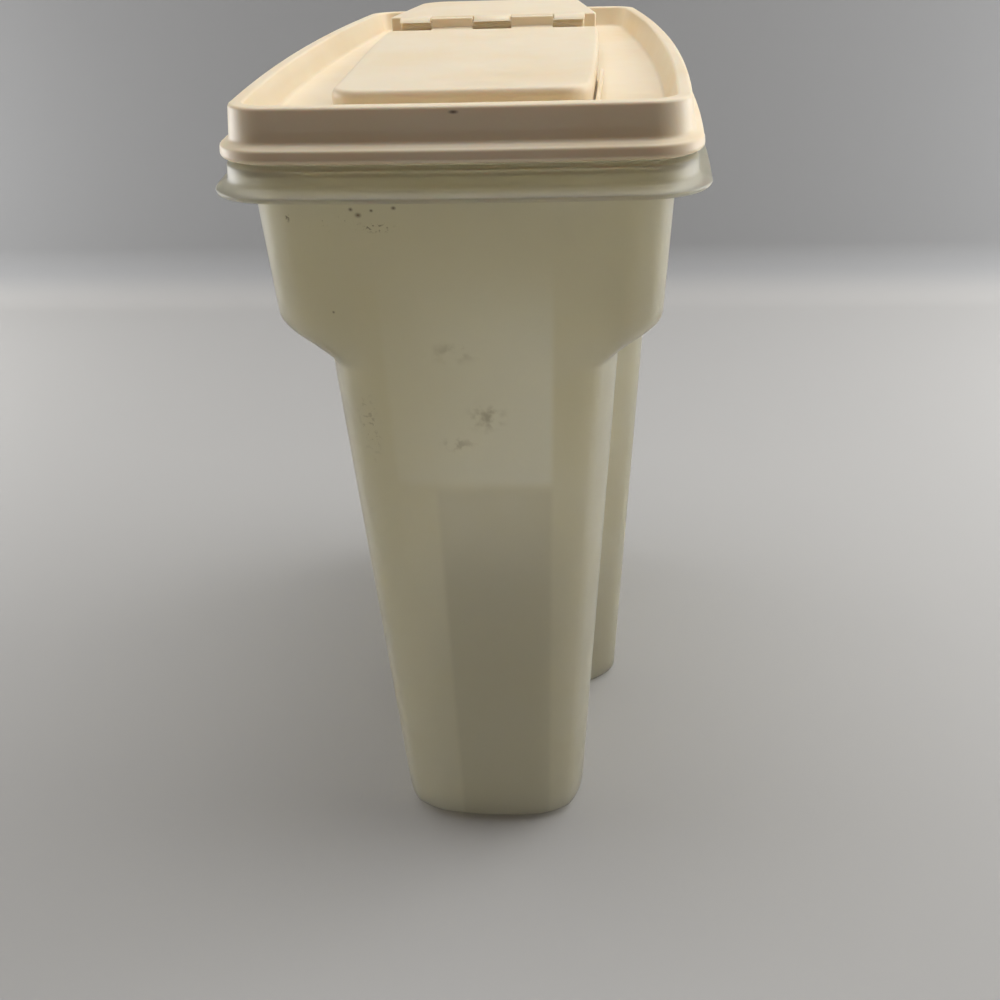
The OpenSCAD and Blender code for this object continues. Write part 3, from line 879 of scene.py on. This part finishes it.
def matte_paper():
    """Seamless matte backdrop paper: pale, with faint broad clouds, and painted shade that makes its
    upright rise darker than the floor.
    """
    f = sizes("container_finishes")
    material, tree, coords = start_material("matte_backdrop_paper")
    faint = {"low": 0.35, "high": 0.7, "most": 0.3, "edges": "LINEAR"}
    clouds = patches(tree, coords, grain=800, detail=1.0, **faint)
    tone = add(
        tree,
        "ShaderNodeMix",
        {0: clouds, 6: linear(f.floor), 7: linear(f.floor_cloud)},
        data_type="RGBA",
    ).outputs[2]
    # painted shade: the tone turns to the darker wall tone as the sweep rises
    height = add(tree, "ShaderNodeSeparateXYZ", {0: coords}).outputs["Z"]
    rise = add(
        tree,
        "ShaderNodeMapRange",
        {"Value": height, "From Max": SHADED_WALL_FADE},
        interpolation_type="SMOOTHSTEP",
    )
    tone = add(tree, "ShaderNodeMix", {0: rise, 6: tone, 7: linear(f.wall)}, data_type="RGBA").outputs[2]
    shader = add(tree, "ShaderNodeBsdfPrincipled", {"Base Color": tone, "Roughness": 0.85})
    add(tree, "ShaderNodeOutputMaterial", {"Surface": shader})
    return material


def body_material(body):
    """The material of a body's finish, made when it is first asked for."""
    make = sheer_polyethylene if FINISH[body].startswith("sheer") else almond_polyethylene
    return bpy.data.materials.get(FINISH[body] + "_moulded") or make()


# ---- Pieces --------------------------------------------------------------------------


def ledge_share(t):
    """Share of the drawing-in left at a share of the ledge's height, with its corners eased."""
    halfway_left, ease_reach = 0.3, 0.07

    def bare(u):
        u = clamp01(u)
        return mix(1, halfway_left, 2 * u) if u < 0.5 else halfway_left * (2 - 2 * u) ** 2

    window = [i / 4 * ease_reach for i in range(-4, 5)]
    return sum(bare(t + w) for w in window) / len(window)


def body_loops(inset, lift_by=0.0):
    """Loops of the container's body from its base edge to under the flange."""
    c = sizes("container_sizes")
    edge_in, edge_up = 4.2 * MM, 5 * MM
    ledge_z = ring_top() - c.ledge_drop
    top = ring_top() - c.lip_drop
    loops = []
    for up, across in around(1, 0, 90, BASE_STEPS):
        z = edge_up * (1 - up) + lift_by
        loops.append(lift(body_plan(z, inset + edge_in * (1 - across), 1), z))
    for z in steps(edge_up + lift_by, ledge_z - 2 * MM, GRIP_STEPS)[1:]:
        loops.append(lift(body_plan(z, inset, 1), z))
    # the shoulder is eased, so its steps start a tenth of its rise early and end a tenth late
    for t in steps(-0.1, 1.1, LEDGE_STEPS) + [1.1]:
        z = ledge_z + c.ledge_rise * t
        loops.append(lift(body_plan(z, inset, ledge_share(t)), z))
    for z in steps(ledge_z + 1.2 * c.ledge_rise, top, UPPER_STEPS) + [top]:
        loops.append(lift(body_plan(z, inset, 0), z))
    return loops


def neck_loops(low, low_z, off, high_z):
    """Loops that change from the body's plan to a ring's plan."""
    high = ring_plan(off)
    out = []
    for i in range(1, NECK_STEPS + 1):
        t = i / NECK_STEPS
        z = mix(low_z, high_z, t)
        out.append([(mix(a[0], b[0], t), mix(a[1], b[1], t), z) for a, b in zip(low, high)])
    return out


def ring_loops(profile, base_z):
    """Loops of ring plans along an (off, z) profile, z counted from base_z."""
    return [lift(ring_plan(off), base_z + z) for off, z in profile]


class CONTAINER_OT_shell(bpy.types.Operator):
    """Builds the sheer container: body, flange, rim and inside as one closed skin"""

    bl_idname = "container.shell"
    bl_label = "Sheer Container"

    def execute(self, context):
        c, s = sizes("container_sizes"), sizes("seal_sizes")
        top = ring_top()
        flange_z, web_z = top - c.lip_drop, top - c.web_drop
        rim_outer = -s.ring_wall - s.rim_gap
        rim_inner = rim_outer - c.rim_t
        rim_z = top - s.ring_roof - 0.3 * MM

        # the base's shallow recess and the flat band that it stands on, in mm
        foot = [(9.5, 0.6), (8.7, 0.55), (8.2, 0.3), (7.8, 0.05), (7.2, 0)]
        outside = [lift(body_plan(0, inset * MM, 1), z * MM) for inset, z in foot]
        outside += body_loops(0)
        under_web = web_z - c.skirt_t
        outside += neck_loops(body_plan(flange_z, 0, 0), flange_z, rim_outer, under_web - 0.4 * MM)
        inner_skirt = c.skirt_out - c.skirt_t
        profile = rounded(
            [
                (rim_outer, -0.4 * MM),
                (rim_outer, 0),
                (inner_skirt, 0),
                (inner_skirt, flange_z + 2.4 * MM - under_web),
                (c.skirt_out + 0.6 * MM, flange_z - under_web),
                (c.lip_out - 0.3 * MM, flange_z - under_web),
                (c.lip_out, flange_z + 0.9 * MM - under_web),
                (c.skirt_out + 0.2 * MM, flange_z + 2.4 * MM - under_web),
                (c.skirt_out - 0.2 * MM, web_z - under_web),
                (rim_outer, web_z - under_web),
                (rim_outer, rim_z - under_web),
                (rim_inner, rim_z - under_web),
                (rim_inner, web_z - under_web),
            ],
            [x * MM for x in (0.3, 0.5, 1.2, 0.6, 0.4, 0.45, 1.2, 0.6, 0.4, 0.5, 0.5)],
        )
        outside += ring_loops(profile[1:], under_web)
        inside = body_loops(c.wall, c.floor_t)
        inside_neck = neck_loops(body_plan(flange_z, c.wall, 0), flange_z, rim_inner, web_z)
        loops = outside + list(reversed(inside_neck[:-1])) + list(reversed(inside))
        mesh = bmesh.new()
        rows = skin(mesh, loops)
        ladder(mesh, rows[0], upward=False)
        ladder(mesh, rows[-1], upward=True)
        piece("container_shell", close_mesh(mesh), "container", "container")
        return {"FINISHED"}


def seal_profile():
    """The ring's section from the sunk panel's top, over the ring, to the panel's underside."""
    s, c = sizes("seal_sizes"), sizes("container_sizes")
    slot_outer = -s.ring_wall
    slot_inner = slot_outer - 2 * s.rim_gap - c.rim_t
    trough = slot_inner - s.ring_wall
    under = -s.bead_drop
    return rounded(
        [
            (trough - 2.6 * MM, -s.panel_drop),
            (trough - 1.1 * MM, -s.panel_drop),
            (trough + 0.6 * MM, 0),
            (0, 0),
            (1.1 * MM, -6.9 * MM),
            (s.bead_out - 0.3 * MM, under + 2.9 * MM),
            (s.bead_out + 0.05 * MM, under + 0.7 * MM),
            (s.bead_out - 1.6 * MM, under),
            (slot_outer, under),
            (slot_outer, -s.ring_roof),
            (slot_inner, -s.ring_roof),
            (slot_inner, -s.panel_drop - s.panel_t),
            (slot_inner - 2 * MM, -s.panel_drop - s.panel_t),
        ],
        [x * MM for x in (1.4, 0.7, 0.9, 1.2, 0.8, 0.9, 0.5, 0.3, 0.3, 0.3, 0.3)],
    )


def at_hinge(profile):
    """A (y, z) profile about the hinge's axis, moved to its place."""
    return [(HINGE[1] + y, HINGE[2] + z) for y, z in profile]


def hook_profile():
    """Section of a hook: a round nose over the rod, open in front, running back into the housing."""
    k = sizes("cap_sizes")
    back = k.barrel_r + 1.3 * MM
    bore = k.rod_r + k.bore_gap
    half = k.mouth_h / 2
    nose = math.degrees(math.asin(half / k.hook_r))
    gate = math.degrees(math.asin(half / bore))
    points = [(back, -k.hook_r), (back, k.hook_r)] + around(k.hook_r, 90, 180 - nose, 10)
    points += around(bore, 180 - gate, -180 + gate, 20)
    points += around(k.hook_r, 180 + nose, 270, 10)
    return at_hinge(points)


class CONTAINER_OT_seal(bpy.types.Operator):
    """Builds the almond seal: ring, bead, sunk panel, spout lip, guard ridge and housing"""

    bl_idname = "container.seal"
    bl_label = "Seal"

    def execute(self, context):
        s, k = sizes("seal_sizes"), sizes("cap_sizes")
        top = ring_top()
        panel_z = top - s.panel_drop
        mesh = bmesh.new()
        rows = skin(mesh, ring_loops(seal_profile(), top))

        # spout lip round the pour opening, from the panel's top over to its underside
        spout = rounded(
            [
                (s.spout_t + LEAD_IN, 0),
                (s.spout_t, 0),
                (s.spout_t, s.spout_h),
                (0, s.spout_h),
                (0, -s.panel_t),
                (LEAD_IN, -s.panel_t),
            ],
            [0.8 * MM, 0.5 * MM, 0.5 * MM, 0.3 * MM],
        )
        spout_rows = skin(mesh, [lift(pour_plan(g), panel_z + z) for g, z in spout])

        # housing: foot, walls and rounded roof edge outside, a plain hollow inside
        near_y = HINGE[1] + k.barrel_r + 0.8 * MM
        height = HINGE[2] + k.hook_r - panel_z
        outer = [(-LEAD_IN, 0), (0, 0), (0, height), (2 * LEAD_IN, height)]
        housing_rows = skin(
            mesh,
            [
                lift(housing_plan(near_y + max(0, i), i), panel_z + z)
                for i, z in rounded(outer, [0.6 * MM, 0.7 * MM])
            ],
        )
        ladder(mesh, housing_rows[-1], upward=True)
        hollow = [(s.housing_t, -s.panel_t), (s.housing_t, height - s.housing_t)]
        hollow_rows = skin(mesh, [lift(housing_plan(near_y + i, i), panel_z + z) for i, z in hollow])
        ladder(mesh, hollow_rows[-1], upward=False)

        fill(mesh, [rows[0], spout_rows[0], housing_rows[0]], UP)
        fill(mesh, [rows[-1], spout_rows[-1], hollow_rows[0]], -UP)
        piece("seal_panel_and_ring", close_mesh(mesh), "seal", "seal")
        self.add_hooks(k)
        self.add_guard(s, panel_z)
        return {"FINISHED"}

    def add_hooks(self, k):
        """Three open-fronted hooks that hold the cap's rod, the middle one wider."""
        numbers = {
            "Count": 3,
            "Spacing": (k.outer_hook_end + k.outer_hook) / 2,
            "Width": k.outer_hook_end - k.outer_hook,
            "Middle Width": 2 * k.middle_hook,
        }
        piece("seal_hooks", repeated_bars(hook_profile(), "seal", numbers), "seal")

    def add_guard(self, s, panel_z):
        """A low ridge with a rounded top that follows the closed cap's near part."""
        line = cap_plan(-s.guard_gap - s.guard_t / 2, HINGE[1])
        half = len(line) // 2
        line = [p for p in line[half:] + line[:half] if p[1] < s.guard_far_y]
        sunk_in = 0.2 * MM
        path = lift(line, panel_z - sunk_in + s.guard_h / 2)
        numbers = {"Width": s.guard_t, "Height": s.guard_h, "Edge Radius": 0.35 * MM}
        piece("seal_guard_ridge", ridge_on_path(path, "seal", numbers), "seal")


class CONTAINER_OT_flip_cap(bpy.types.Operator):
    """Builds the almond flip cap: plate, skirt, plug ring, rod and hinge barrels"""

    bl_idname = "container.flip_cap"
    bl_label = "Flip Cap"

    def top_z(self, y):
        """Height of the cap's top: level, then a gentle rise from the thumb line."""
        k = sizes("cap_sizes")
        share = clamp01((k.thumb_y - y) / (k.thumb_y - k.near_y))
        return ring_top() + k.rise + k.thumb_rise * share

    def execute(self, context):
        s, k = sizes("seal_sizes"), sizes("cap_sizes")
        top = ring_top() + k.rise
        bottom = ring_top() - s.panel_drop + k.skirt_gap
        far_y = HINGE[1] - k.hook_r - 1.1 * MM
        plate_z = top - k.plate_t
        mesh = bmesh.new()
        profile = rounded(
            [
                (k.skirt_t + LEAD_IN, plate_z),
                (k.skirt_t, plate_z),
                (k.skirt_t, bottom),
                (0, bottom),
                (0, top),
                (k.edge_r + LEAD_IN, top),
            ],
            [0.6 * MM, 0.3 * MM, 0.4 * MM, k.edge_r],
            count=6,
        )
        loops = []
        for inset, z in profile:
            share = clamp01((z - plate_z) / k.plate_t) if inset < k.skirt_t else 0
            share = 1 if z >= top - 1e-6 else share
            loops.append([(x, y, z + share * (self.top_z(y) - top)) for x, y in cap_plan(inset, far_y)])
        rows = skin(mesh, loops)
        ladder(mesh, rows[-1], upward=True)
        plug = rounded(
            [
                (-k.plug_gap + LEAD_IN, 0),
                (-k.plug_gap, 0),
                (-k.plug_gap, -k.plug_depth),
                (-k.plug_gap - k.plug_t, -k.plug_depth),
                (-k.plug_gap - k.plug_t, 0),
                (-k.plug_gap - k.plug_t - LEAD_IN, 0),
            ],
            [0.4 * MM, 0.5 * MM, 0.5 * MM, 0.4 * MM],
        )
        plug_rows = skin(mesh, [lift(pour_plan(g), plate_z + z) for g, z in plug])
        fill(mesh, [rows[0], plug_rows[0]], -UP)
        ladder(mesh, plug_rows[-1], upward=False)
        piece("flip_cap_plate", close_mesh(mesh), "flip_cap", "flip_cap")
        self.add_rod(k)
        self.add_barrels(k, far_y)
        return {"FINISHED"}

    def add_rod(self, k):
        """The rod that turns in the seal's hooks."""
        rod = at_hinge(around(k.rod_r, 0, 360, 32)[:-1])
        end = k.outer_hook_end - 0.3 * MM
        mesh = bmesh.new()
        extrude_x(mesh, rod, -end, end, 0.2 * MM)
        piece("flip_cap_rod", close_mesh(mesh), "flip_cap")

    def add_barrels(self, k, far_y):
        """Two barrels, flat in front and round behind, each with its strap to the plate."""
        r, front = k.barrel_r, -k.barrel_front
        strap_top = ring_top() + k.rise - HINGE[2]
        strap_bottom = strap_top - k.plate_t
        lead = far_y - HINGE[1] - 1 * MM
        edge = 0.4 * MM
        barrel = [(lead, strap_bottom), (front, strap_bottom), (front + edge, -r), (0, -r)]
        barrel += arc(0, 0, r, r, -90, 90, 20) + [(0, r), (front + edge, r)]
        barrel += arc(front + edge, r - edge, edge, edge, 90, 180, 5) + [(front, r - edge)]
        barrel += [(front, strap_top + edge), (front - edge, strap_top), (lead, strap_top)]
        inner = k.middle_hook + k.side_gap
        outer = k.outer_hook - k.side_gap
        numbers = {
            "Count": 2,
            "Spacing": outer + inner,
            "Width": outer - inner,
            "Middle Width": outer - inner,
        }
        data = repeated_bars(at_hinge(barrel), "flip_cap", numbers)
        piece("flip_cap_barrels", data, "flip_cap")


# ---- Stage -----------------------------------------------------------------------------


class CONTAINER_OT_studio(bpy.types.Operator):
    """Sets up the pale sweep, the soft lights and the camera"""

    bl_idname = "container.studio"
    bl_label = "Studio"

    def execute(self, context):
        self.add_sweep(context)
        self.add_lights(context)
        self.add_camera(context)
        context.scene.view_settings.view_transform = "Standard"
        return {"FINISHED"}

    def add_sweep(self, context):
        """Floor that curves up into a backdrop far behind the container."""
        floor_z = CAD_BOX[0][2]
        near, far, radius, height, half_w = -0.75, 0.39, 0.04, 1.4, 1.6
        turn = around(radius, -90, 0, 16)
        profile = [(near, floor_z)] + [(far + y, floor_z + radius + z) for y, z in turn]
        profile.append((far + radius, floor_z + height))
        mesh = bmesh.new()
        left = [mesh.verts.new((-half_w, y, z)) for y, z in profile]
        right = [mesh.verts.new((half_w, y, z)) for y, z in profile]
        for i in range(len(profile) - 1):
            mesh.faces.new((left[i], right[i], right[i + 1], left[i + 1]))
        data = to_data(mesh)
        data.materials.append(matte_paper())
        data.shade_smooth()
        sweep = bpy.data.objects.new("sweep", data)
        context.scene.collection.objects.link(sweep)

    def add_lights(self, context):
        """A window light high on the right, an overhead fill, low fills at both sides and in
        front, and the surround. Each has its place, its aim, its two sizes and its watts."""
        context.scene.world = self.make_surround()
        for name, place, aim, size, watts in (
            ("window_softbox", (0.65, 0.22, 0.75), (0, 0, 0.1), (0.6, 0.6), 3.8),
            ("overhead_softbox", (0.0, 0.12, 1.1), (0, 0, 0.1), (1.0, 0.6), 6.4),
            ("left_low_softbox", (-0.66, 0.13, 0.19), (0, 0.0, 0.05), (0.5, 0.36), 2.7),
            ("right_low_softbox", (0.66, 0.13, 0.19), (0, 0.0, 0.05), (0.5, 0.36), 2.8),
            ("front_low_softbox", (0.0, -0.24, 0.022), (0, -0.07, 0.0), (0.24, 0.04), 0.085),
        ):
            lamp = bpy.data.lights.new(name, "AREA")
            lamp.shape = "RECTANGLE"
            lamp.size, lamp.size_y = size
            lamp.energy = watts
            holder = bpy.data.objects.new(name, lamp)
            holder.location = place
            holder.rotation_euler = (Vector(aim) - holder.location).to_track_quat("-Z", "Y").to_euler()
            context.scene.collection.objects.link(holder)

    def make_surround(self):
        """Grey walls beside and behind the container, and a dim warm room in front of it, which
        only lights it: where the surround is seen, it is grey all round."""
        f = sizes("container_finishes")
        world = bpy.data.worlds.new("studio_surround")
        world.use_nodes = True
        tree = world.node_tree
        tree.nodes.clear()
        direction = add(tree, "ShaderNodeTexCoord").outputs["Generated"]
        along = add(tree, "ShaderNodeSeparateXYZ", {0: direction}).outputs["Y"]
        share = add(
            tree,
            "ShaderNodeMapRange",
            {"Value": along, "From Min": -0.5, "From Max": 0.2},
            interpolation_type="SMOOTHSTEP",
        )
        path = add(tree, "ShaderNodeLightPath").outputs
        for kind in ("Is Camera Ray", "Is Glossy Ray", "Is Transmission Ray"):
            share = add(tree, "ShaderNodeMath", {0: share, 1: path[kind]}, operation="MAXIMUM")
        tone = add(
            tree,
            "ShaderNodeMix",
            {0: share, 6: linear(f.room), 7: linear(f.surround)},
            data_type="RGBA",
        ).outputs[2]
        background = add(tree, "ShaderNodeBackground", {"Color": tone, "Strength": 1.0})
        add(tree, "ShaderNodeOutputWorld", {"Surface": background.outputs[0]})
        return world

    def add_camera(self, context):
        """Camera at the photograph's place: high, close and a little to the right."""
        data = bpy.data.cameras.new("photo_camera")
        data.lens = data.sensor_width * CAMERA_FOCAL_PX / FRAME_PX
        data.clip_start, data.clip_end = 0.01, 20
        holder = bpy.data.objects.new("photo_camera", data)
        holder.location = Vector(CAMERA_PLACE)
        yaw, pitch, roll = CAMERA_TURN
        turn = Matrix.Rotation(yaw, 3, "Z") @ Matrix.Rotation(math.pi / 2 - pitch, 3, "X")
        holder.rotation_mode = "ZXY"
        holder.rotation_euler = (turn @ Matrix.Rotation(roll, 3, "Z")).to_euler("ZXY")
        context.scene.collection.objects.link(holder)
        context.scene.camera = holder


class CONTAINER_PT_panel(bpy.types.Panel):
    """Lists the pieces and their sizes"""

    bl_idname = "CONTAINER_PT_panel"
    bl_label = "Cereal Container"
    bl_space_type = "VIEW_3D"
    bl_region_type = "UI"
    bl_category = "Container"

    def draw(self, context):
        for operator in OPERATORS:
            self.layout.operator(operator.bl_idname)
        for name, group in SIZES.items():
            box = self.layout.box()
            for field in group.__annotations__:
                box.prop(getattr(context.scene, name), field)


OPERATORS = (CONTAINER_OT_shell, CONTAINER_OT_seal, CONTAINER_OT_flip_cap, CONTAINER_OT_studio)
CLASSES = (*SIZES.values(), *OPERATORS, CONTAINER_PT_panel)


def register():
    for cls in CLASSES:
        bpy.utils.register_class(cls)
    for name, group in SIZES.items():
        setattr(bpy.types.Scene, name, PointerProperty(type=group))


def unregister():
    for name in SIZES:
        delattr(bpy.types.Scene, name)
    for cls in reversed(CLASSES):
        bpy.utils.unregister_class(cls)


def main():
    register()
    bpy.ops.container.shell()
    bpy.ops.container.seal()
    bpy.ops.container.flip_cap()
    bpy.ops.container.studio()


if __name__ == "__main__":
    main()
